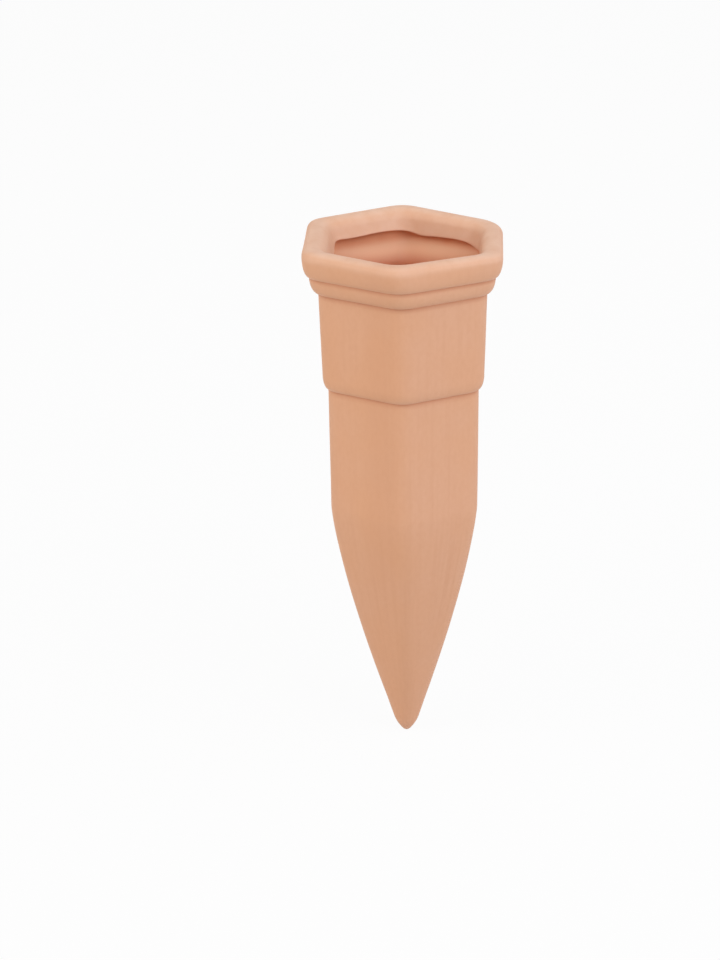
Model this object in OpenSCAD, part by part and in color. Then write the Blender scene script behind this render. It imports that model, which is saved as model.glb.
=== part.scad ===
// Self watering spike for a potted plant: one hollow piece of fired clay with a hexagonal section.
// A bottle neck stands in the mouth, and the water seeps through the wall below the soil line.
// The axis is Z with the tip at the origin. One corner of the section points to -Y.

/* [Overall] */
// Height from the tip to the flat top of the rim
total_h = 125; // [115:1:150]
// Width of the rim across its flats
rim_w = 45; // [42:0.5:54]
// Thickness of the cast clay wall
wall_t = 4; // [3:0.1:5]

/* [Rim] */
// Height of the rim, down to the band
rim_h = 6.6; // [6:0.1:9]
// Rounding of the rim's outer top edge
rim_edge_r = 1.8; // [1:0.1:2.2]
// Radius of the rim's corners, seen from above
rim_corner_r = 6.3; // [4:0.1:8]

/* [Band] */
// How far the band stands in from the rim
band_step = 1.8; // [1:0.1:2.2]
// Height of the band, down to the skirt
band_h = 4.1; // [3:0.1:6]
// Radius of the band's corners
band_corner_r = 5.5; // [4:0.1:7]

/* [Skirt] */
// How far the top of the skirt stands in from the band
skirt_step = 1.8; // [1:0.1:2.2]
// Height of the skirt, down to the body
skirt_h = 23.2; // [18:0.1:30]
// How far the skirt draws in on its way down
skirt_draft = 0.6; // [0.2:0.1:1]
// Height of the rounding at the foot of the skirt
skirt_foot_h = 3.4; // [2:0.1:5]
// Radius of the skirt's corners
skirt_corner_r = 4.7; // [4:0.1:6]

/* [Body] */
// How far the body stands in from the foot of the skirt
body_step = 1.2; // [0.8:0.1:1.6]
// How far the straight body draws in on its way down
body_draft = 0.2; // [0:0.1:0.4]
// Radius of the body's corners, kept down to the tip
body_corner_r = 4.2; // [3:0.1:6]

/* [Tip] */
// Height of the tapered end above the tip
taper_h = 62; // [50:1:66]
// Half of the width that the taper runs out to at the tip
tip_r = 1.7; // [1.2:0.1:2.5]
// Height over which the tip is rounded off
tip_round_h = 4; // [3:0.1:5]

/* [Mouth] */
// Thickness of the clay between the mouth and the rim's outside
mouth_wall_t = 4.8; // [4.6:0.1:5.6]
// Rounding of the mouth's top edge
mouth_edge_r = 2.2; // [1:0.1:2.3]
// Radius of the mouth's corners
mouth_corner_r = 5.5; // [3:0.1:7]
// Thickness of the cast layer in which the mouth is cut
lip_t = 5.2; // [4.5:0.1:6]
// How far the mouth narrows down to its trimmed edge
lip_draft = 1.2; // [0.8:0.1:1.6]
// Rise and fall of the hand trimmed edge
trim_wave = 0.6; // [0:0.1:0.8]
// How far the hollow widens just under the trimmed edge
undercut = 1.3; // [0.8:0.1:1.6]
// Height of the curved face under the trimmed edge
undercut_h = 1; // [0.6:0.1:1.2]

/* [Hollow] */
// Height of solid clay that the casting leaves above the tip
tip_fill_h = 11; // [10:0.5:14]
// Height over which the floor of the hollow is rounded
floor_round_h = 3; // [2:0.1:4]
// Least half width of the hollow above its rounded floor
floor_r = 1.2; // [0.8:0.1:1.5]
// Radius of the hollow's corners
hollow_corner_r = 3.5; // [2:0.1:5]

/* [Smoothness] */
// Steps round each corner of the section
corner_steps = 6; // [4:1:7]
// Steps along each flat of the section
flat_steps = 2; // [1:1:2]
// Rings up each moulding
moulding_steps = 8; // [5:1:9]
// Rings round each rounded edge and rounded end
edge_steps = 5; // [3:1:6]
// Rings up the taper
taper_steps = 20; // [14:1:22]

/* [Hidden] */

sides = 6;
circle_turn = 360;
quarter_turn = circle_turn / 4;
side_turn = circle_turn / sides;
corner_turn = side_turn / 2;

// Bulge of the mouldings: 2 is an ellipse, and more is fuller
moulding_fullness = 2.5;
// Bow of the taper: 1 is a straight cone, and more is rounder at the shoulder
taper_bow = 1.31;
// The largest share of its width that a ring's corners may round off, so that its flats stay
round_share = 0.9;
// Height of the spare clay above the rim, which is cut off to leave one level face
spare_h = 1;
// Two waves make up the trimmed edge: how often each rises in a circle, its share of the height
// and the turn at which it starts
trim_waves = [2, 6];
trim_shares = [1, 0.5];
trim_starts = [114, 81];

// Half widths across the flats, from the rim down
rim_a = rim_w / 2;
band_a = rim_a - band_step;
skirt_a = band_a - skirt_step;
skirt_foot_a = skirt_a - skirt_draft;
body_top_a = skirt_foot_a - body_step;
body_a = body_top_a - body_draft;

// Levels, from the rim down
band_z = total_h - rim_h;
skirt_z = band_z - band_h;
body_z = skirt_z - skirt_h;

// Half widths of the mouth and of the hollow
mouth_a = rim_a - mouth_wall_t;
lip_a = mouth_a - lip_draft;
neck_a = lip_a + undercut;
skirt_hollow_a = skirt_a - wall_t;
skirt_foot_hollow_a = skirt_foot_a - wall_t;
body_top_hollow_a = body_top_a - wall_t;

// Levels of the mouth and of the hollow
lip_z = total_h - lip_t;
neck_z = lip_z - undercut_h;
skirt_hollow_z = skirt_z - wall_t / 2;
step_top_z = body_z + skirt_foot_h + wall_t / 2;
step_bottom_z = body_z - wall_t / 2;

// Height of the trimmed edge in one direction, as a share of trim_wave
function trim_share(turn) =
    trim_shares[0] * cos(trim_waves[0] * turn + trim_starts[0])
    + trim_shares[1] * cos(trim_waves[1] * turn + trim_starts[1]);

// A ring is [half width, corner radius, height], and the rings at the trimmed edge add their
// share of its wave. The first flat faces +X, and each corner follows its flat.
function wave_share(ring) = len(ring) > 3 ? ring[3] : 0;

function ring_point(ring, side, step) =
    let (
        centre_r = (ring[0] - ring[1]) / cos(corner_turn),
        centre_turn = side * side_turn + corner_turn,
        turn = (side + step / corner_steps) * side_turn
    )
    [
        centre_r * cos(centre_turn) + ring[1] * cos(turn),
        centre_r * sin(centre_turn) + ring[1] * sin(turn)
    ];

function corner_points(ring, side) = [for (step = [0:corner_steps]) ring_point(ring, side, step)];

// A corner's arc, then the points inside the flat that follows it
function side_points(ring, side) =
    let (
        arc = corner_points(ring, side),
        from = arc[corner_steps],
        to = ring_point(ring, side + 1, 0)
    )
    concat(arc, [for (step = [1:1:flat_steps - 1]) from + (to - from) * step / flat_steps]);

function ring_points(ring) = [
    for (side = [0:sides - 1], point = side_points(ring, side))
        let (rise = wave_share(ring) * trim_wave * trim_share(atan2(point[1], point[0])))
        [point[0], point[1], ring[2] + rise]
];

// A corner radius that leaves the ring a little of each flat
function safe_r(half_width, corner_r) = min(corner_r, half_width * round_share);

// Half width of the tapered end at one height
function taper_a(z) =
    tip_r + (body_a - tip_r) * (1 - pow(max(1 - z / taper_h, 0), taper_bow));

// Share of the width that is left where an end is rounded off
function dome_share(z, end_z, round_h) =
    z < end_z + round_h ? sqrt(1 - pow(1 - (z - end_z) / round_h, 2)) : 1;

// Turns an even share of a run into one that moves slowly at both ends
function eased(share) = (1 - cos(share * 2 * quarter_turn)) / 2;

// Heights of the rings from a rounded end up to the top of the taper
function taper_levels(end_z, round_h) = concat(
    [for (step = [1:edge_steps]) end_z + round_h * (1 - cos(step / edge_steps * quarter_turn))],
    [
        for (step = [1:taper_steps])
            end_z + round_h + (taper_h - end_z - round_h) * eased(step / taper_steps)
    ]
);

function reversed(list) = [for (i = [len(list) - 1:-1:0]) list[i]];

// A full quarter curve that swells from its foot, just up to the ring at its widest level
function moulding(foot, top) = [
    for (step = [0:moulding_steps - 1])
        let (
            turn = step / moulding_steps * quarter_turn,
            out = pow(sin(turn), 2 / moulding_fullness),
            up = 1 - pow(cos(turn), 2 / moulding_fullness)
        )
        [
            foot[0] + (top[0] - foot[0]) * out,
            foot[1] + (top[1] - foot[1]) * out,
            foot[2] + (top[2] - foot[2]) * up
        ]
];

// A soft S curve between two rings of the hollow
function blend(from, to, steps) = [
    for (step = [1:steps])
        let (share = eased(step / steps))
        [
            from[0] + (to[0] - from[0]) * share,
            from[1] + (to[1] - from[1]) * share,
            from[2] + (to[2] - from[2]) * step / steps
        ]
];

// The rings at which the outside changes its course
body_top = [body_top_a, body_corner_r, body_z];
skirt_foot = [skirt_foot_a, skirt_corner_r, body_z + skirt_foot_h];
skirt_top = [skirt_a, skirt_corner_r, skirt_z];
band_top = [band_a, band_corner_r, band_z];
rim_side = [rim_a, rim_corner_r, total_h - rim_edge_r];

// The outside, from the tip up over the rim's rounded edge to the top of the spare clay
outside_rings = concat(
    [
        for (z = taper_levels(0, tip_round_h))
            let (half_width = taper_a(z) * dome_share(z, 0, tip_round_h))
            [half_width, safe_r(half_width, body_corner_r), z]
    ],
    moulding(body_top, skirt_foot),
    [skirt_foot],
    moulding(skirt_top, band_top),
    moulding(band_top, rim_side),
    [
        for (step = [0:edge_steps])
            let (
                turn = step / edge_steps * quarter_turn,
                inset = rim_edge_r * (1 - cos(turn))
            )
            [rim_a - inset, rim_corner_r - inset, total_h - rim_edge_r * (1 - sin(turn))]
    ],
    [[rim_a - rim_edge_r, rim_corner_r - rim_edge_r, total_h + spare_h]]
);

// The mouth, from the spare clay and its rounded top edge down to the trimmed edge and out under it
mouth_rings = concat(
    [[mouth_a + mouth_edge_r, mouth_corner_r + mouth_edge_r, total_h + spare_h]],
    [
        for (step = [0:edge_steps])
            let (
                turn = step / edge_steps * quarter_turn,
                inset = mouth_edge_r * (1 - sin(turn))
            )
            [mouth_a + inset, mouth_corner_r + inset, total_h - mouth_edge_r * (1 - cos(turn))]
    ],
    [
        for (step = [0:edge_steps])
            let (
                turn = step / edge_steps * quarter_turn,
                half_width = lip_a + undercut * sin(turn)
            )
            [half_width, mouth_corner_r, lip_z - undercut_h * (1 - cos(turn)), cos(turn)]
    ]
);

// The rings at which the hollow changes its course
neck = [neck_a, mouth_corner_r, neck_z];
skirt_hollow = [skirt_hollow_a, hollow_corner_r, skirt_hollow_z];
step_top = [skirt_foot_hollow_a, hollow_corner_r, step_top_z];
step_bottom = [body_top_hollow_a, hollow_corner_r, step_bottom_z];

// The hollow, from under the mouth down to its rounded floor
hollow_rings = concat(
    blend(neck, skirt_hollow, moulding_steps),
    [step_top],
    blend(step_top, step_bottom, moulding_steps),
    [
        for (z = reversed(taper_levels(tip_fill_h, floor_round_h)))
            let (
                hollow_a = max(taper_a(z) - wall_t, floor_r),
                half_width = hollow_a * dome_share(z, tip_fill_h, floor_round_h)
            )
            [half_width, safe_r(half_width, hollow_corner_r), z]
    ]
);

rings = concat(outside_rings, mouth_rings, hollow_rings);
ring_size = len(ring_points(rings[0]));
last_start = (len(rings) - 1) * ring_size;
tip_point = len(rings) * ring_size;
floor_point = tip_point + 1;

// The point after point i round the ring that begins at start
function beside(start, i) = start + (i + 1) % ring_size;

module watering_spike() {
    color([0.86, 0.64, 0.5])
        difference() {
            polyhedron(
                points = concat(
                    [for (ring = rings, point = ring_points(ring)) point],
                    [[0, 0, 0], [0, 0, tip_fill_h]]
                ),
                faces = concat(
                    [for (i = [0:ring_size - 1]) [tip_point, i, beside(0, i)]],
                    [
                        for (
                            start = [0:ring_size:last_start - ring_size],
                            i = [0:ring_size - 1],
                            half = [0, 1]
                        )
                            half == 0
                                ? [start + i, start + ring_size + i, beside(start, i)]
                                : [
                                    beside(start, i),
                                    start + ring_size + i,
                                    beside(start + ring_size, i)
                                ]
                    ],
                    [
                        for (i = [0:ring_size - 1])
                            [floor_point, beside(last_start, i), last_start + i]
                    ]
                )
            );
            translate([-rim_w, -rim_w, total_h])
                cube([2 * rim_w, 2 * rim_w, 2 * spare_h]);
        }
}

watering_spike();
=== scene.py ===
# %% [markdown]
# # A self watering spike of fired clay
# The real object is one hollow spike of unglazed clay that is cast in a plaster mould. A bottle
# stands in its mouth, and the water seeps out through the wall into the soil of a pot.
# The measured model is loaded first and stays as it is: it says where everything goes, in metres.
# This script gives it a finer skin, the clay's own finish, a camera and a plain studio.

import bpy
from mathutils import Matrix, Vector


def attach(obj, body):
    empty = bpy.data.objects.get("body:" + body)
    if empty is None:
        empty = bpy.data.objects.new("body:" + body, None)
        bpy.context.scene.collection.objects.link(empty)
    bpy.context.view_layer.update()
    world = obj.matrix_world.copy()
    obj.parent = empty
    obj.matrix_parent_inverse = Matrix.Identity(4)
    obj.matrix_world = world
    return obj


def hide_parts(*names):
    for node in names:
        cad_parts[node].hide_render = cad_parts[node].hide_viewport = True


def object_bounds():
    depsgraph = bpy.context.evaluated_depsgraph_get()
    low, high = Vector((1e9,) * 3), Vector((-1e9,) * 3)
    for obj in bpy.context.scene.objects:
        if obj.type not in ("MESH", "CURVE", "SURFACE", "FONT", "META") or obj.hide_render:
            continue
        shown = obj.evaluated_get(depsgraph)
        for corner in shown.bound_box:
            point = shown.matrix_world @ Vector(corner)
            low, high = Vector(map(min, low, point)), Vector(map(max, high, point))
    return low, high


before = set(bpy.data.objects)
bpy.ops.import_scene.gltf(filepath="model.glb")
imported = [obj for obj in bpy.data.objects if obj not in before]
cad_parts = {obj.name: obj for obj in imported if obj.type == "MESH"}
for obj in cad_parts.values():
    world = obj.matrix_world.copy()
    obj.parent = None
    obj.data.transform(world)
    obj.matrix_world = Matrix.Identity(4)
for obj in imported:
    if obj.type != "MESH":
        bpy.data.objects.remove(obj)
cad_low, cad_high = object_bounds()
print("CAD box in mm:", [round(1000 * (high - low), 2) for low, high in zip(cad_low, cad_high)])

# %% Tools for the whole script
import math

import bmesh
import bpy
from mathutils import Matrix, Vector, noise

MM = 0.001
scene = bpy.context.scene

# %% [markdown]
# ## The camera
# The photograph was taken from a little above with a long lens, one corner of the spike towards
# it. A long lens far away keeps the two sides of the hexagon nearly parallel, which is why the
# picture looks so calm. The lens, the distance and the two angles were worked out from the
# outline. The last small turn puts the middle of the spike on its own spot in the picture, which
# is kinder than a lens shift, because other views of the scene then need no undoing.

# %% Camera
PHOTO_WIDTH, PHOTO_HEIGHT = 720, 960
MIDDLE_X, MIDDLE_Y = 405.1, 491.0
SENSOR = 36.0
LENS = 104.8
DISTANCE = 0.6537
ELEVATION = math.radians(22.71)
AZIMUTH = math.radians(1.74)
ROLL = math.radians(0.367)


def aim_camera(camera, middle):
    """Stands the camera off from the middle and turns it until the middle falls on its pixel."""
    away = Vector((
        math.sin(AZIMUTH) * math.cos(ELEVATION),
        -math.cos(AZIMUTH) * math.cos(ELEVATION),
        math.sin(ELEVATION),
    ))
    focal_pixels = LENS / SENSOR * PHOTO_HEIGHT
    straight = Vector((0, 0, -1))
    wanted = Vector((
        (MIDDLE_X - PHOTO_WIDTH / 2) / focal_pixels,
        -(MIDDLE_Y - PHOTO_HEIGHT / 2) / focal_pixels,
        -1,
    ))
    look = (-away).to_track_quat("-Z", "Y").to_matrix()
    roll = Matrix.Rotation(-ROLL, 3, "Z")
    pan = straight.rotation_difference(wanted).to_matrix().transposed()
    turn = look @ roll @ pan
    camera.matrix_world = Matrix.Translation(middle + away * DISTANCE) @ turn.to_4x4()


camera_data = bpy.data.cameras.new("studio_camera")
camera_data.sensor_width = SENSOR
camera_data.lens = LENS
camera_data.clip_start = 0.01
camera = bpy.data.objects.new("studio_camera", camera_data)
scene.collection.objects.link(camera)
scene.camera = camera
aim_camera(camera, (cad_low + cad_high) / 2)
print("camera stands at", [round(value, 4) for value in camera.matrix_world.translation])

# %% [markdown]
# ## The shape of the spike
# On the real object every level is a hexagon with rounded corners, because the mould is one.
# A hexagon's corners could be modelled as six beveled edges, but the spike also tapers, steps and
# turns over at the mouth, and each bevel would have to be kept in step with that. It is easier to
# begin with a round circle of many points and to let each point slide in or out along its own
# ray, until the ring is a rounded hexagon. The same points then serve every level, so the faces
# run in clean columns from the tip to the floor of the hollow.

# %% Sizes of the outside
RIM_A = (cad_high[0] - cad_low[0]) / 2
TOTAL_H = cad_high[2]
RIM_H, RIM_EDGE, RIM_CORNER = 6.6 * MM, 1.8 * MM, 6.3 * MM
BAND_STEP, BAND_H, BAND_CORNER = 1.55 * MM, 4.1 * MM, 5.5 * MM
SKIRT_STEP, SKIRT_H, SKIRT_CORNER = 1.92 * MM, 23.2 * MM, 4.7 * MM
SKIRT_DRAFT, SKIRT_FOOT_H = 0.6 * MM, 3.4 * MM
BODY_STEP, BODY_DRAFT, BODY_CORNER = 1.28 * MM, 0.2 * MM, 4.2 * MM
TAPER_H, TIP_R, TIP_ROUND_H = 62 * MM, 1.7 * MM, 4 * MM

BAND_A = RIM_A - BAND_STEP
SKIRT_A = BAND_A - SKIRT_STEP
SKIRT_FOOT_A = SKIRT_A - SKIRT_DRAFT
BODY_TOP_A = SKIRT_FOOT_A - BODY_STEP
BODY_A = BODY_TOP_A - BODY_DRAFT
BAND_Z = TOTAL_H - RIM_H
SKIRT_Z = BAND_Z - BAND_H
BODY_Z = SKIRT_Z - SKIRT_H
print("half widths in mm:", [round(a / MM, 2) for a in (RIM_A, BAND_A, SKIRT_A, BODY_A)])

# %% Sizes of the mouth and the hollow
WALL = 4 * MM
MOUTH_START, MOUTH_EDGE, MOUTH_CORNER = 2.35 * MM, 3.0 * MM, 4.2 * MM
LIP_T, LIP_WALL = 5.2 * MM, 6.0 * MM
UNDERCUT, UNDERCUT_H = 1.3 * MM, 1.0 * MM
TIP_FILL_H, FLOOR_ROUND_H, FLOOR_R = 11 * MM, 3 * MM, 1.2 * MM
HOLLOW_CORNER = 3.5 * MM

MOUTH_A = RIM_A - MOUTH_START
LIP_A = RIM_A - LIP_WALL
LIP_Z = TOTAL_H - LIP_T
NECK_A, NECK_Z = LIP_A + UNDERCUT, LIP_Z - UNDERCUT_H
print("mouth in mm across the flats:", round(2 * MOUTH_A / MM, 1), "down to", round(2 * LIP_A / MM, 1))

# %% [markdown]
# ## One level of the spike
# A level is described by its half width, its corner radius and its height. On a flat, a point at
# a turn lies as far out as the flat's line. Near a corner it lies on a circle that touches both
# flats. The formula for both is short, and it is the only place where the hexagon is written. On
# the real spike the bend from flat to corner is soft, so the distance is averaged over a few degrees.
# Near the rim the six corners are not rounded alike, and each has its own share of the radius.

# %% The rounded hexagon
SIDES = 6
SIDE_TURN = math.tau / SIDES
CORNER_TURN = SIDE_TURN / 2
EASE_TURN = math.radians(2)
EASE_WEIGHTS = (1, 2, 3, 2, 1)
CORNER_SHARES = (1.35, 1.0, 0.6, 0.8, 1.0, 0.87)
ROUND_SHARE = 0.9


def section_radius(turn, half_width, corner_r, uneven):
    """Distance from the axis to a rounded hexagon in one direction. A flat faces turn 0.

    An uneven of 1 gives each corner its own share of the radius, and 0 makes them all alike.
    """
    share = CORNER_SHARES[int(turn % math.tau // SIDE_TURN)]
    corner_r = min(corner_r * (1 + (share - 1) * uneven), half_width * ROUND_SHARE)
    off_flat = abs((turn + CORNER_TURN) % SIDE_TURN - CORNER_TURN)
    flat_end = math.atan(math.tan(CORNER_TURN) * (1 - corner_r / half_width))
    if off_flat <= flat_end:
        return half_width / math.cos(off_flat)
    centre = (half_width - corner_r) / math.cos(CORNER_TURN)
    off_corner = CORNER_TURN - off_flat
    across = centre * math.sin(off_corner)
    return centre * math.cos(off_corner) + math.sqrt(corner_r ** 2 - across ** 2)


def soft_radius(turn, half_width, corner_r, uneven):
    """The same distance, with the bend eased in where a flat meets its corner."""
    off_flat = abs((turn + CORNER_TURN) % SIDE_TURN - CORNER_TURN)
    total = 0.0
    for step, weight in enumerate(EASE_WEIGHTS, -2):
        total += weight * section_radius(turn + step * EASE_TURN, half_width, corner_r, uneven)
    return min(total / sum(EASE_WEIGHTS), half_width / math.cos(off_flat))


corner_to_corner = 2 * section_radius(CORNER_TURN, RIM_A, RIM_CORNER, 0)
print("rim across its corners in mm:", round(corner_to_corner / MM, 2))

# %% [markdown]
# ## The levels from the tip to the floor of the hollow
# The real wall is one skin of clay, so its outline can be followed in one go: up the outside,
# over the rim, down the mouth and on into the hollow. A moulding swells in a full quarter curve
# from a sharp line, which is what the plaster leaves. The taper is a pointed arch. Levels lie
# closer together where the surface turns, so that the light rolls over it without a facet.

# %% Straight runs and mouldings
QUARTER = math.pi / 2
FULLNESS = 2.1


def shares(steps):
    """Even shares of a run, without its start."""
    return [step / steps for step in range(1, steps + 1)]


def moulding(foot, top, steps):
    """A full quarter curve from its foot to just below its widest level."""
    levels = []
    for share in [0.0] + shares(steps)[:-1]:
        out = math.sin(share * QUARTER) ** (2 / FULLNESS)
        up = 1 - math.cos(share * QUARTER) ** (2 / FULLNESS)
        levels.append((
            foot[0] + (top[0] - foot[0]) * out,
            foot[1] + (top[1] - foot[1]) * out,
            foot[2] + (top[2] - foot[2]) * up,
        ))
    return levels


def straight(low, high, steps):
    """Even levels on a straight run, without its first one."""
    return [tuple(a + (b - a) * share for a, b in zip(low, high)) for share in shares(steps)]


print("four even shares:", shares(4))

# %% Curves of the taper
TAPER_BOW = 1.31


def eased(share):
    """Turns an even share into one that moves slowly at both ends."""
    return (1 - math.cos(share * math.pi)) / 2


def taper_a(z):
    """Half width of the pointed arch at one height."""
    return TIP_R + (BODY_A - TIP_R) * (1 - max(1 - z / TAPER_H, 0) ** TAPER_BOW)


def dome_share(z, end_z, round_h):
    """Share of the width that is left where an end is rounded off."""
    if z >= end_z + round_h:
        return 1
    return math.sqrt(1 - (1 - (z - end_z) / round_h) ** 2)


def taper_heights(end_z, round_h, round_steps, steps):
    """Heights from a rounded end up to the top of the taper."""
    rounded = [end_z + round_h * (1 - math.cos(share * QUARTER)) for share in shares(round_steps)]
    start = end_z + round_h
    return rounded + [start + (TAPER_H - start) * eased(share) for share in shares(steps)]


print("half width halfway up the taper in mm:", round(taper_a(TAPER_H / 2) / MM, 2))

# %% Levels of the outside
TIP_RINGS, TAPER_RINGS, BODY_RINGS, SKIRT_RINGS = 9, 40, 36, 30
MOULDING_RINGS, RIM_RINGS, EDGE_RINGS = 14, 16, 8

body_low = (BODY_A, BODY_CORNER, TAPER_H)
body_top = (BODY_TOP_A, BODY_CORNER, BODY_Z)
skirt_foot = (SKIRT_FOOT_A, SKIRT_CORNER, BODY_Z + SKIRT_FOOT_H)
skirt_top = (SKIRT_A, SKIRT_CORNER, SKIRT_Z)
band_top = (BAND_A, BAND_CORNER, BAND_Z)
rim_side = (RIM_A, RIM_CORNER, TOTAL_H - RIM_EDGE)

outside = [
    (taper_a(z) * dome_share(z, 0, TIP_ROUND_H), BODY_CORNER, z)
    for z in taper_heights(0, TIP_ROUND_H, TIP_RINGS, TAPER_RINGS)
]
outside += straight(body_low, body_top, BODY_RINGS)[:-1]
outside += moulding(body_top, skirt_foot, MOULDING_RINGS) + [skirt_foot]
outside += straight(skirt_foot, skirt_top, SKIRT_RINGS)[:-1]
outside += moulding(skirt_top, band_top, MOULDING_RINGS)
outside += moulding(band_top, rim_side, RIM_RINGS)
for share in [0.0] + shares(EDGE_RINGS):
    inset = RIM_EDGE * (1 - math.cos(share * QUARTER))
    height = TOTAL_H - RIM_EDGE * (1 - math.sin(share * QUARTER))
    outside.append((RIM_A - inset, RIM_CORNER - inset, height))
print("levels outside:", len(outside))

# %% [markdown]
# ## Into the mouth
# The top of the rim rounds over into the mouth and meets the sloping wall without a kink. The angle
# at which the rounding has to end follows from the two points that the wall must join. At the cut
# the spare clay has been undercut a little, and below it the hollow follows the outside.

# %% Levels of the mouth
ARC_RINGS, WALL_RINGS, UNDERCUT_RINGS = 12, 6, 6

across, down = MOUTH_A - LIP_A, TOTAL_H - MOUTH_EDGE - LIP_Z
slope = math.atan2(down, across) + math.asin(MOUTH_EDGE / math.hypot(across, down))
wall_top_a = MOUTH_A - MOUTH_EDGE * math.sin(slope)
mouth = []
for share in [0.0] + shares(ARC_RINGS):
    half_width = MOUTH_A - MOUTH_EDGE * math.sin(share * slope)
    height = TOTAL_H - MOUTH_EDGE * (1 - math.cos(share * slope))
    mouth.append((half_width, MOUTH_CORNER + half_width - wall_top_a, height))
lip_edge = (LIP_A, MOUTH_CORNER, LIP_Z)
mouth += straight(mouth[-1], lip_edge, WALL_RINGS)

undercut = []
for share in shares(UNDERCUT_RINGS):
    out = UNDERCUT * math.sin(share * QUARTER)
    drop = UNDERCUT_H * (1 - math.cos(share * QUARTER))
    undercut.append((LIP_A + out, MOUTH_CORNER, LIP_Z - drop))
print("levels in the mouth:", len(mouth), "and in the undercut:", len(undercut))

# %% Levels of the hollow
NECK_RINGS, SKIRT_HOLLOW_RINGS, STEP_RINGS, SHANK_RINGS, FLOOR_RINGS = 14, 6, 10, 24, 6


def blend(low, high, steps):
    """A soft S curve between two levels, without the first one."""
    levels = []
    for share in shares(steps):
        width, corner = (low[i] + (high[i] - low[i]) * eased(share) for i in (0, 1))
        levels.append((width, corner, low[2] + (high[2] - low[2]) * share))
    return levels


neck = (NECK_A, MOUTH_CORNER, NECK_Z)
skirt_hollow = (SKIRT_A - WALL, HOLLOW_CORNER, SKIRT_Z - WALL / 2)
step_top = (SKIRT_FOOT_A - WALL, HOLLOW_CORNER, BODY_Z + SKIRT_FOOT_H + WALL / 2)
step_bottom = (BODY_TOP_A - WALL, HOLLOW_CORNER, BODY_Z - WALL / 2)
hollow = blend(neck, skirt_hollow, NECK_RINGS)
hollow += straight(skirt_hollow, step_top, SKIRT_HOLLOW_RINGS)
hollow += blend(step_top, step_bottom, STEP_RINGS)
for z in reversed(taper_heights(TIP_FILL_H, FLOOR_ROUND_H, FLOOR_RINGS, SHANK_RINGS)):
    half_width = max(taper_a(z) - WALL, FLOOR_R) * dome_share(z, TIP_FILL_H, FLOOR_ROUND_H)
    hollow.append((half_width, HOLLOW_CORNER, z))
print("levels in the hollow:", len(hollow))

# %% [markdown]
# ## The trimmed edge
# When the cast has stiffened, the spare clay in the mouth is cut out with a knife. The cut isn't
# level: it rises and falls by up to a millimetre on its way round. Its heights are given every ten
# degrees and joined by a smooth curve that passes through them all. The points of the cut and of
# the clay just under it move together. The mouth also sits a little to one side.

# %% Course of the trimmed edge
TRIM_RISES = (
    -0.6, -0.75, -0.8, -0.8, 0.05, 0.3, 0.15, -0.05, -0.3, 0.4, 0.85, 1.0,
    0.95, 0.8, 0.75, 0.85, 0.15, -0.3, -0.4, -0.4, -0.1, 0.2, 0.4, 0.3,
    0.1, -0.1, -0.2, -0.1, 0.1, 0.3, 0.4, 0.3, 0.0, -0.3, -0.5, -0.55,
)
MOUTH_SHIFT = 0.8 * MM


def trim_rise(turn):
    """How far the cut lies above its mean height in one direction."""
    place_on = turn / math.tau * len(TRIM_RISES)
    first = math.floor(place_on)
    share = place_on - first
    before, low, high, after = (TRIM_RISES[(first + step) % len(TRIM_RISES)] for step in (-1, 0, 1, 2))
    slope_low, slope_high = (high - before) / 2, (after - low) / 2
    bend = 3 * (high - low) - 2 * slope_low - slope_high
    twist = 2 * (low - high) + slope_low + slope_high
    return MM * (low + share * (slope_low + share * (bend + share * twist)))


print("the cut lies between", min(TRIM_RISES), "and", max(TRIM_RISES), "mm of its mean height")

# %% [markdown]
# ## Pulling the skin up
# The skin starts as a disc of thin triangles at the tip. Its rim is extruded once for each level,
# and each new ring is set to that level's rounded hexagon, much as a potter pulls up a wall. At
# the end the last ring closes in a point on the floor of the hollow.

# %% Setting a ring on its level
def set_ring(turns, level, rise_share, shift_share):
    """Slides a ring's points along their own rays until they lie on the level's hexagon."""
    half_width, corner_r, height = level
    uneven = max(0, min(1, (height - SKIRT_Z) / BAND_H))
    shift = shift_share * MOUTH_SHIFT
    for point, turn in turns.items():
        reach = soft_radius(turn, half_width, corner_r, uneven)
        rise = rise_share * trim_rise(turn)
        point.co = (shift + reach * math.cos(turn), reach * math.sin(turn), height + rise)


def extrude_ring(skin, edges):
    """Extrudes a loop of edges and returns the new loop's edges and points."""
    made = bmesh.ops.extrude_edge_only(skin, edges=edges)["geom"]
    points = [item for item in made if isinstance(item, bmesh.types.BMVert)]
    chosen = set(points)
    loop = [
        item for item in made
        if isinstance(item, bmesh.types.BMEdge) and all(end in chosen for end in item.verts)
    ]
    return loop, points


print("first ring in mm:", [round(size / MM, 2) for size in outside[0]])

# %% Levels with their shares
SHIFT_AT_RIM, SHIFT_AT_WALL = 0.25, 0.75

# The first share is how far a ring follows the rise of the cut, the second how far it goes sideways.
levels = [(level, 0.0, 0.0) for level in outside]
for level, share in zip(mouth, [0.0] + shares(ARC_RINGS)):
    levels.append((level, 0.0, SHIFT_AT_RIM + (SHIFT_AT_WALL - SHIFT_AT_RIM) * share))
for level, share in zip(mouth[-WALL_RINGS:], shares(WALL_RINGS)):
    levels.append((level, share, SHIFT_AT_WALL + (1 - SHIFT_AT_WALL) * share))
for level, share in zip(undercut, shares(UNDERCUT_RINGS)):
    levels.append((level, math.cos(share * QUARTER), 1.0))
for level, share in zip(hollow, shares(NECK_RINGS)):
    levels.append((level, 0.0, 1 - share))
levels += [(level, 0.0, 0.0) for level in hollow[NECK_RINGS:]]
print("levels in all:", len(levels))

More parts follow.
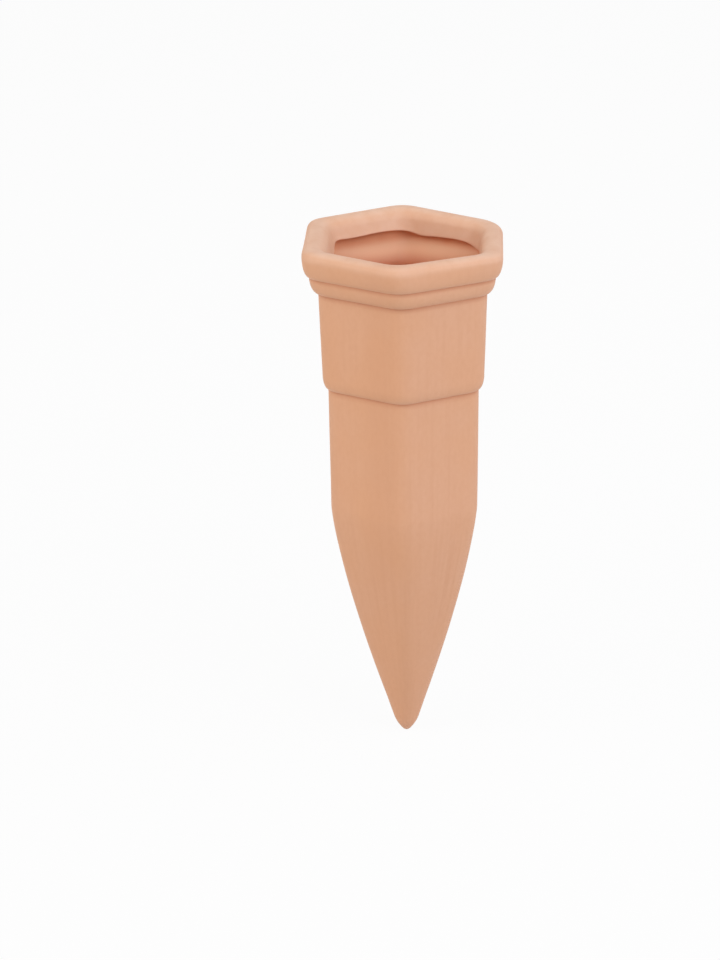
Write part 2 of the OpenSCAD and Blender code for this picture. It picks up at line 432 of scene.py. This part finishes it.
# %% Build the skin
COLUMNS = 288
FOOT_SOFT, CUT_SOFT, SOFT_FACES = 0.2 * MM, 0.25 * MM, 3
# How strong the painted red shade round the cut is, by rings counted from the cut.
CUT_SHADE_STOPS = (-2, 0), (0, 0.2), (1, 0.5), (6, 0.5), (9, 0)


def between(place_on, *stops):
    """A value that changes evenly from one stop to the next, each stop a place and its value."""
    for (low_place, low), (high_place, high) in zip(stops, stops[1:]):
        if place_on <= high_place:
            return low + (high - low) * max(0, (place_on - low_place) / (high_place - low_place))
    return stops[-1][1]


FIRST_IN_MOUTH, CUT = len(outside), len(outside) + len(mouth) - 1
FEET = [outside.index(foot) for foot in (body_top, skirt_top, band_top)]
feet_edges, cut_edges = [], []

skin = bmesh.new()
in_mouth = skin.verts.layers.float.new("mouth")
in_hollow = skin.verts.layers.float.new("hollow")
near_cut = skin.verts.layers.float.new("near_cut")
bmesh.ops.create_circle(skin, cap_ends=True, cap_tris=True, segments=COLUMNS, radius=TIP_R)
loop = [edge for edge in skin.edges if edge.is_boundary]
ring = list({point for edge in loop for point in edge.verts})
turns = {point: math.atan2(point.co.y, point.co.x) for point in ring}
set_ring(turns, *levels[0])
for number, level in enumerate(levels[1:], 1):
    loop, ring = extrude_ring(skin, loop)
    # New points lie on the last ring, so their turns are read about the middle of that ring.
    shift = levels[number - 1][2] * MOUTH_SHIFT
    turns = {point: math.atan2(point.co.y, point.co.x - shift) for point in ring}
    set_ring(turns, *level)
    for point in ring:
        point[in_mouth] = float(FIRST_IN_MOUTH <= number <= CUT)
        point[in_hollow] = float(number > CUT)
        point[near_cut] = between(number - CUT, *CUT_SHADE_STOPS)
    if number in FEET:
        feet_edges += loop
    if number == CUT:
        cut_edges += loop
loop, ring = extrude_ring(skin, loop)
bmesh.ops.pointmerge(skin, verts=ring, merge_co=(0, 0, TIP_FILL_H))
for edges, width in ((feet_edges, FOOT_SOFT), (cut_edges, CUT_SOFT)):
    bmesh.ops.bevel(
        skin, geom=edges, affect="EDGES", offset=width,
        segments=SOFT_FACES, profile=0.5, material=-1, clamp_overlap=True,
    )
bmesh.ops.recalc_face_normals(skin, faces=skin.faces)
print("faces in the skin:", len(skin.faces), "volume in cm3:", round(skin.calc_volume() * 1e6, 2))

# %% [markdown]
# ## Made by hand
# A cast shrinks unevenly as it dries and is fired, and it is wiped with a sponge, so no flat is
# quite flat. Slow noise draws each point in a little, never out, and least at the tip. The mouth end
# is less true than the rest, because it is soft when it is trimmed. The middle of the rim leans
# sideways by three quarters of a millimetre, and by up to half a millimetre more at the front. The
# three lines round the collar rise by up to half a millimetre at the front corner, and the top of
# the rim falls by about as much towards one side.

# %% Unevenness
SWAY, SWAY_SPACING = 0.1 * MM, 13 * MM
FINER, FINER_SHARE = 3.1, 0.4
LEAN_LOW, LEAN_TOP, LEAN_FRONT = 0.31 * MM, 0.75 * MM, 0.5 * MM
FRONT_LIFT, LIFT_FROM, FRONT_BEND = 0.55 * MM, 0.2, 0.02
RIM_FALL, FALL_BEND = 0.6 * MM, 0.01
CORNER_OUT = RIM_A / math.cos(CORNER_TURN)


def positive(value, softness):
    """The value where it is above 0 and about 0 below, with a soft bend between."""
    return (value + math.sqrt(value ** 2 + softness)) / 2


for point in skin.verts:
    flat_place = Vector((point.co.x, point.co.y, 0))
    reach = flat_place.length
    hold = min(reach / BODY_A, 1)
    sway = noise.noise(point.co / SWAY_SPACING)
    sway += FINER_SHARE * noise.noise(point.co / SWAY_SPACING * FINER)
    draw_in = SWAY * hold * (0.5 + 0.5 * max(-1, min(1, sway)))
    if reach > 0:
        point.co -= flat_place / reach * draw_in
    front = positive(-point.co.y / CORNER_OUT, FRONT_BEND)
    z = point.co.z
    lean = between(z, (SKIRT_Z, 0), (BAND_Z, LEAN_LOW), (TOTAL_H, LEAN_TOP))
    lean += between(z, (BAND_Z, 0), (TOTAL_H, LEAN_FRONT)) * front
    point.co.x -= lean * (1 - (point.co.x / RIM_A) ** 2)
    lift = between(z, (TAPER_H, 0), (BODY_Z, FRONT_LIFT), (BAND_Z, FRONT_LIFT), (TOTAL_H, 0))
    fall = between(z, (SKIRT_Z, 0), (TOTAL_H, 1)) ** 2 * RIM_FALL
    point.co.z += lift * (front - LIFT_FROM) - fall * positive(point.co.x / RIM_A, FALL_BEND)
skin.normal_update()
print("top of the rim in mm:", round(max(point.co.z for point in skin.verts) / MM, 2))

# %% [markdown]
# ## Where the clay is worn, and where light and shade are painted
# Edges that stick out are rubbed paler, and the inner lines are darkened as painted shade. Both follow
# from how the surface bends. Seen from one point, its neighbours lie below the tangent plane on an
# edge and above it in a crease. The mean over the neighbours is stored on each point. Three more masks
# say where the clay is paler, partly from the sponge and partly as painted light on faces that look
# up, on the side of the rim and on the wall of the mouth, what lies inside the hollow, and where a
# painted red shade lies round the cut and mostly just under it.

# %% Masks on the points
BEND_ROUNDS = 3
NEAR, TINY = 0.3 * MM, 0.001 * MM
WORN_GAIN, GROOVE_GAIN = 4, 2.5
# Shares of paleness on the mouth wall and the rim's side, partly sponge marks and partly painted
# light.
WALL_WIPED_AND_LIT, SIDE_WIPED_AND_LIT, SIDE_FROM = 0.76, 0.57, 2 * MM


def bend_at(point):
    """Mean bend towards the neighbours, in radians per millimetre."""
    bends = []
    for edge in point.link_edges:
        step = edge.other_vert(point).co - point.co
        bends.append(step.dot(point.normal) / max(step.length_squared, TINY ** 2) * MM)
    return sum(bends) / len(bends)


def softened(values):
    """Each value drawn towards its neighbours, and more so the nearer they lie."""
    result = []
    for point in skin.verts:
        total, weights = values[point.index], 1.0
        for edge in point.link_edges:
            weight = min(1, (NEAR / max(edge.calc_length(), TINY)) ** 2)
            total += weight * values[edge.other_vert(point).index]
            weights += weight
        result.append(total / weights)
    return result


def side_wiped_and_lit(z):
    """How far the side of the rim is made paler, partly as the sponge's work and partly as painted
    sheen, from nothing at its foot to a good deal at its top.
    """
    return between(z, (BAND_Z + SIDE_FROM, 0), (TOTAL_H - RIM_EDGE, SIDE_WIPED_AND_LIT))


skin.verts.index_update()
bend = [bend_at(point) for point in skin.verts]
for _ in range(BEND_ROUNDS):
    bend = softened(bend)
hollow_mask = softened([point[in_hollow] for point in skin.verts])
mouth_mask = softened([point[in_mouth] for point in skin.verts])
masks = {
    "worn": [max(0, min(1, -WORN_GAIN * value)) for value in bend],
    # Painted shade in the inner lines, where the surface bends inwards.
    "groove_shade": [max(0, min(1, GROOVE_GAIN * value)) for value in bend],
    # Paler where the sponge went and where light is painted: faces that look up, the rim's side and
    # the mouth's wall.
    "wiped_and_lit": [
        max(WALL_WIPED_AND_LIT * share, max(point.normal.z, side_wiped_and_lit(point.co.z)) * (1 - inner))
        for point, share, inner in zip(skin.verts, mouth_mask, hollow_mask)
    ],
    "inside": hollow_mask,
    # A painted red shade round the cut, mostly just under it.
    "cut_shade": [point[near_cut] for point in skin.verts],
}
print("masks:", {name: round(max(values), 2) for name, values in masks.items()})

# %% Finish the piece
spike_mesh = bpy.data.meshes.new("clay_spike")
skin.to_mesh(spike_mesh)
skin.free()
for face in spike_mesh.polygons:
    face.use_smooth = True
for name, values in masks.items():
    layer = spike_mesh.attributes.new(name, "FLOAT", "POINT")
    layer.data.foreach_set("value", values)
spike = bpy.data.objects.new("clay_spike", spike_mesh)
scene.collection.objects.link(spike)
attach(spike, "root")
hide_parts("watering_spike")
print("points in the piece:", len(spike_mesh.vertices))

# %% [markdown]
# ## Shader maths
# A material is easier to read as a formula than as a tangle of nodes. This small class wraps one
# output socket and turns the ordinary operators into Math nodes, so that `1 - mask` works. Colours
# and vectors have their own nodes, because a Math node would turn a colour grey.

# %% A socket that can be reckoned with
class Value:
    """A node's output socket, with operators that add Math nodes."""

    def __init__(self, finish, socket):
        self.finish = finish
        self.socket = socket

    def _math(self, operation, *others):
        return self.finish.node("ShaderNodeMath", {"operation": operation}, [self, *others])

    def __add__(self, other):
        return self._math("ADD", other)

    def __sub__(self, other):
        return self._math("SUBTRACT", other)

    def __mul__(self, other):
        return self._math("MULTIPLY", other)

    def __rsub__(self, other):
        return self.finish.node("ShaderNodeMath", {"operation": "SUBTRACT"}, [other, self])

    __radd__ = __add__
    __rmul__ = __mul__

    def clamp(self):
        """The value held between 0 and 1."""
        return self.finish.node("ShaderNodeClamp", {}, [self])

    def ramp(self, low, high):
        """0 below low, 1 above high, and a soft step between."""
        settings = {"interpolation_type": "SMOOTHSTEP"}
        sockets = {"Value": self, "From Min": low, "From Max": high}
        return self.finish.node("ShaderNodeMapRange", settings, sockets)


print("what a value can do:", [name for name, made in vars(Value).items() if callable(made)])

# %% A node tree under construction
SEEN_RAYS = (0, 3, 6)


class Finish:
    """The node tree of a material or a world under construction."""

    def __init__(self, owner):
        owner.use_nodes = True
        self.owner = owner
        self.tree = owner.node_tree
        self.tree.nodes.clear()

    def node(self, kind, settings=None, sockets=(), output=0):
        """Adds a node: its settings first, then its sockets' values or links."""
        made = self.tree.nodes.new(kind)
        for name, value in (settings or {}).items():
            setattr(made, name, value)
        named = sockets.items() if isinstance(sockets, dict) else enumerate(sockets)
        for name, value in named:
            if isinstance(value, Value):
                self.tree.links.new(value.socket, made.inputs[name])
            else:
                made.inputs[name].default_value = value
        return Value(self, made.outputs[output]) if made.outputs else None

    def mix(self, factor, first, second):
        """Mixes two colours."""
        return self.node("ShaderNodeMix", {"data_type": "RGBA"}, {0: factor, 6: first, 7: second}, 2)

    def vector(self, operation, sockets):
        """Adds a Vector Math node."""
        return self.node("ShaderNodeVectorMath", {"operation": operation}, sockets)

    def part(self, vector, axis):
        """One of a vector's three parts."""
        return self.node("ShaderNodeSeparateXYZ", {}, [vector], axis)

    def seen(self):
        """1 for what the camera sees, straight, in a gloss or through glass, and 0 for light."""
        rays = (self.node("ShaderNodeLightPath", output=number) for number in SEEN_RAYS)
        return sum(rays, 0.0).clamp()

    def mask(self, name):
        """One of the masks that are stored on the points."""
        return self.node("ShaderNodeAttribute", {"attribute_name": name}, output=2)


print("what a finish can do:", [name for name, made in vars(Finish).items() if callable(made)])

# %% [markdown]
# ## The clay
# Fired terracotta is matt and a little dusty. Noise makes its patterns, each at its own fineness:
# broad clouds, patches, specks and a sandy grain. The streaks were left by a wet sponge that was
# drawn up and down. Noise that is read on a ring round the axis and hardly changes with height
# gives just such streaks, and they meet cleanly all the way round.

# %% Colours of the clay
CLAY = (0.695, 0.352, 0.195, 1)
# The pinker tone of the clouds, also used as a painted sheen on the right side.
CLAY_PINK_AND_SHEEN = (0.705, 0.375, 0.228, 1)
# The colour of the streaks and specks, also used for the painted shade left of the front corner.
CLAY_STREAK_AND_SHADE = (0.62, 0.29, 0.15, 1)
# The pale colour of worn edges, of sponged clay, and of painted light on faces that look up, the rim's
# side and the mouth's wall.
CLAY_PALE_WORN_AND_LIT = (0.785, 0.495, 0.35, 1)
# The hollow's colour, made lighter than the outside clay as painted light.
CLAY_INSIDE_LIT = (0.83, 0.455, 0.268, 1)
# Painted shade deeper in the hollow.
CLAY_DEEP_SHADE = (0.57, 0.17, 0.075, 1)
# The colour of the painted shade in the inner lines.
CLAY_GROOVE_SHADE = (0.56, 0.21, 0.10, 1)
# The red of the painted shade round the cut.
CLAY_CUT_SHADE = (0.76, 0.22, 0.095, 1)
print("plain clay:", CLAY[:3], "wiped clay:", CLAY_PALE_WORN_AND_LIT[:3])

# %% Patterns in the clay
CLOUDS, PATCHES, SPECKS, GRAINS = 0.07, 0.3, 1.2, 4.0
DETAIL = 3.0
CLOUD_RISE, SPECK_RISE = 0.7, 0.6
STREAK_RING, STREAK_RISE = 17, 0.03
CLOUD_EDGE, SPECK_EDGE, STREAK_EDGE = (0.35, 0.65), (0.35, 0.7), (0.4, 0.75)

clay = Finish(bpy.data.materials.new("fired_clay"))
place = clay.node("ShaderNodeTexCoord", output=3)
in_mm = clay.vector("SCALE", {0: place, "Scale": 1 / MM})
sideways, backward, height = (clay.part(in_mm, axis) for axis in (0, 1, 2))


def noise_at(where, fineness):
    """Soft noise, read at a vector."""
    return clay.node("ShaderNodeTexNoise", {}, {"Vector": where, "Scale": fineness, "Detail": DETAIL})


def cloud(fineness, rise=1):
    """Noise with so many waves to a millimetre, drawn out upwards where its rise is under 1."""
    return noise_at(clay.vector("MULTIPLY", [in_mm, (1, 1, rise)]), fineness)


def streaks():
    """Noise on a ring round the axis, which hardly changes with height."""
    outward = clay.vector("NORMALIZE", [clay.vector("MULTIPLY", [in_mm, (1, 1, 0)])])
    around = clay.vector("SCALE", {0: outward, "Scale": STREAK_RING})
    upward = clay.vector("MULTIPLY", [in_mm, (0, 0, STREAK_RISE)])
    return noise_at(clay.vector("ADD", [around, upward]), 1.0)


tone = cloud(CLOUDS, CLOUD_RISE).ramp(*CLOUD_EDGE)
patchy = cloud(PATCHES)
speckle = cloud(SPECKS, SPECK_RISE).ramp(*SPECK_EDGE)
grain = cloud(GRAINS)
streak = streaks().ramp(*STREAK_EDGE)
print("nodes in the patterns:", len(clay.tree.nodes))

# %% [markdown]
# ## The ground colour
# The colour is laid down in thin layers, each a Mix over the one before. The clouds are a little
# pinker, and the right side gets a painted pale pink sheen. The streaks are plainer on the taper and
# on the right, and fainter towards the rim. A broad band just left of the front corner is darkened
# with painted shade.

# %% Ground colour of the clay
PINK_CLOUDS, SHEEN_RIGHT = 0.5, 0.3
STREAK_SHARE, STREAK_CHANGE, RIGHT_GAIN = 0.17, 0.13, 0.02
STREAK_LEAST, STREAK_CLOUDS = 0.4, 0.8
SPECKLE_SHARE, SHADE_SHARE = 0.14, 0.25
RIGHT_SIDE = (-1, 5)
TAPER_STREAKS = (TAPER_H / MM, TAPER_H / MM - 15)
RIM_STREAKS = (SKIRT_Z / MM - 12, SKIRT_Z / MM + 2)
SHADE_LEFT, SHADE_RIGHT, SHADE_FRONT, SHADE_RISE = (-11, -5), (0.5, -2.5), (0, -2), (25, 55)

more_right = 1 + RIGHT_GAIN * sideways
# The right side is mixed towards the pinker tone as a painted sheen.
pinker = PINK_CLOUDS * tone + SHEEN_RIGHT * sideways.ramp(*RIGHT_SIDE)
base = clay.mix(pinker, CLAY, CLAY_PINK_AND_SHEEN)
drawn = STREAK_SHARE + STREAK_CHANGE * height.ramp(*TAPER_STREAKS)
drawn = (drawn - STREAK_CHANGE * height.ramp(*RIM_STREAKS)) * more_right
streaked = (STREAK_LEAST + STREAK_CLOUDS * tone) * drawn * streak
base = clay.mix(streaked, base, CLAY_STREAK_AND_SHADE)
base = clay.mix(SPECKLE_SHARE * speckle, base, CLAY_STREAK_AND_SHADE)
# Painted shade: a broad band just left of the front corner is darkened.
painted_shade = sideways.ramp(*SHADE_LEFT) * sideways.ramp(*SHADE_RIGHT)
painted_shade = painted_shade * backward.ramp(*SHADE_FRONT) * height.ramp(*SHADE_RISE)
base = clay.mix(SHADE_SHARE * painted_shade, base, CLAY_STREAK_AND_SHADE)
print("nodes with the ground colour:", len(clay.tree.nodes))

# %% [markdown]
# ## The marks of making, and painted light and shade
# The stored masks now say where the next layers go. The hollow's clay is made lighter than the outside
# as painted light, and redder and darker with depth as painted shade, a little sooner at its sides
# than in the middle. The pale, patchy layer is partly the sponge's work and partly painted light, and
# worn edges are a little paler. A painted red shade lies round the cut, and the inner lines are
# darkened with painted shade.

# %% Marks on the clay
DEEP_START, DEEP_END, DEEP_BOW = 3.2, 7, 0.006
INSIDE_SHARE, WORN_SHARE, GROOVE_SHARE = 0.9, 0.25, 0.7
WIPED_LIT_EDGE, WORN_EDGE = (0.35, 1.0), (0.25, 0.9)
WIPED_LIT_LEAST, WIPED_LIT_PATCHES, WIPED_LIT_MOST, WIPED_LIT_SHADE = 0.2, 1.6, 0.8, 0.25
PATCH_LEAST = 0.4

# Painted shade: the hollow turns redder and darker with depth, sooner at its sides.
lowered = height - DEEP_BOW * sideways * sideways
deep = lowered.ramp(LIP_Z / MM - DEEP_START, LIP_Z / MM - DEEP_END)
inner = clay.mix(deep, CLAY_INSIDE_LIT, CLAY_DEEP_SHADE)
base = clay.mix(INSIDE_SHARE * clay.mask("inside"), base, inner)
# The pale layer is partly sponge marks and partly painted light from above; it is weaker in the
# painted shade band.
wiped_and_lit = (WIPED_LIT_LEAST + WIPED_LIT_PATCHES * patchy) * clay.mask("wiped_and_lit").ramp(*WIPED_LIT_EDGE)
wiped_and_lit = wiped_and_lit * (WIPED_LIT_MOST - WIPED_LIT_SHADE * painted_shade)
base = clay.mix(wiped_and_lit.clamp(), base, CLAY_PALE_WORN_AND_LIT)
patched = PATCH_LEAST + patchy
worn = patched * clay.mask("worn").ramp(*WORN_EDGE) * WORN_SHARE
base = clay.mix(worn, base, CLAY_PALE_WORN_AND_LIT)
# A painted red shade round the cut, mostly just under it.
cut_shade = clay.mask("cut_shade") * patched * more_right
base = clay.mix(cut_shade.clamp(), base, CLAY_CUT_SHADE)
# Painted shade in the inner lines.
base = clay.mix(clay.mask("groove_shade") * GROOVE_SHARE, base, CLAY_GROOVE_SHADE)
print("nodes with the marks:", len(clay.tree.nodes))

# %% Clay material
GRAIN_DEPTH, GRAIN_STRENGTH = 0.03 * MM, 0.2
MATT, MATT_CHANGE, CLAY_IOR = 0.52, 0.1, 1.5

bump = clay.node("ShaderNodeBump", {}, {
    "Strength": GRAIN_STRENGTH,
    "Distance": GRAIN_DEPTH,
    "Height": grain,
})
shader = clay.node("ShaderNodeBsdfPrincipled", {}, {
    "Base Color": base,
    "Roughness": MATT + MATT_CHANGE * grain,
    "IOR": CLAY_IOR,
    "Normal": bump,
})
clay.node("ShaderNodeOutputMaterial", {}, {"Surface": shader})
spike_mesh.materials.append(clay.owner)
print("nodes in the clay:", len(clay.tree.nodes))

# %% [markdown]
# ## The studio
# The photograph shows the spike on plain white, in a soft light from all round that leaves hardly
# a shadow. A pale disc is the floor. The camera sees floor and sky as white, while the light that
# they give back to the clay stays plain, so the white never comes from more light on the object.

# %% Floor
STAGE_R, STAGE_SIDES = 6.0, 96
STAGE_GLOW = 0.94
PAPER, WHITE = (0.75, 0.75, 0.75, 1), (1, 1, 1, 1)

floor_form = bmesh.new()
bmesh.ops.create_circle(floor_form, cap_ends=True, segments=STAGE_SIDES, radius=STAGE_R)
floor_mesh = bpy.data.meshes.new("floor")
floor_form.to_mesh(floor_mesh)
floor_form.free()
floor = bpy.data.objects.new("floor", floor_mesh)
scene.collection.objects.link(floor)

paper = Finish(bpy.data.materials.new("floor_paper"))
matt = paper.node("ShaderNodeBsdfDiffuse", {}, {"Color": PAPER})
glow = paper.node("ShaderNodeEmission", {}, {"Color": WHITE, "Strength": 1.0})
mixed = paper.node("ShaderNodeMixShader", {}, [paper.seen() * STAGE_GLOW, matt, glow])
paper.node("ShaderNodeOutputMaterial", {}, {"Surface": mixed})
floor_mesh.materials.append(paper.owner)
print("floor radius in m:", STAGE_R)

# %% World
SKY_STRENGTH = 0.44

world = bpy.data.worlds.new("soft_sky")
scene.world = world
sky = Finish(world)
soft = sky.node("ShaderNodeBackground", {}, {"Color": WHITE, "Strength": SKY_STRENGTH})
white = sky.node("ShaderNodeBackground", {}, {"Color": WHITE, "Strength": 1.0})
choice = sky.node("ShaderNodeMixShader", {}, [sky.seen(), soft, white])
sky.node("ShaderNodeOutputWorld", {}, {"Surface": choice})
print("sky strength:", SKY_STRENGTH)

# %% [markdown]
# ## The lamps
# Soft boxes stand on both sides, the low ones in front of the spike and beside it, and the high ones
# where they look down into the mouth. The low ones light the two front faces almost alike. The high
# ones light the far walls of the mouth, each the one across from it. The left ones are a little
# warmer than the right ones. All are large, so the shadows have no edge.

# %% Lamps
LAMP_SIZE = 0.8


def add_lamp(name, stand, power, color):
    """A square soft box that looks at the middle of the spike."""
    lamp_data = bpy.data.lights.new(name, "AREA")
    lamp_data.shape = "SQUARE"
    lamp_data.size = LAMP_SIZE
    lamp_data.energy = power
    lamp_data.color = color
    lamp = bpy.data.objects.new(name, lamp_data)
    scene.collection.objects.link(lamp)
    middle = (cad_low + cad_high) / 2
    lamp.rotation_mode = "QUATERNION"
    lamp.rotation_quaternion = (middle - Vector(stand)).to_track_quat("-Z", "Y")
    lamp.location = stand


WARM, COOL = (1.0, 0.975, 0.92), (0.88, 0.92, 1.0)
add_lamp("left_front", (-0.8, -0.9, 0.62), 0.9, WARM)
add_lamp("left_side", (-1.15, -0.35, 0.45), 3.9, WARM)
add_lamp("left_high", (-0.65, -0.65, 1.0), 3.2, WARM)
add_lamp("right_front", (0.8, -0.9, 0.62), 3.2, COOL)
add_lamp("right_side", (1.15, -0.35, 0.45), 1.9, COOL)
add_lamp("right_high", (0.65, -0.65, 1.0), 4.3, COOL)
add_lamp("right_top", (0.85, 0.1, 1.0), 1.7, COOL)
scene.view_settings.view_transform = "Standard"
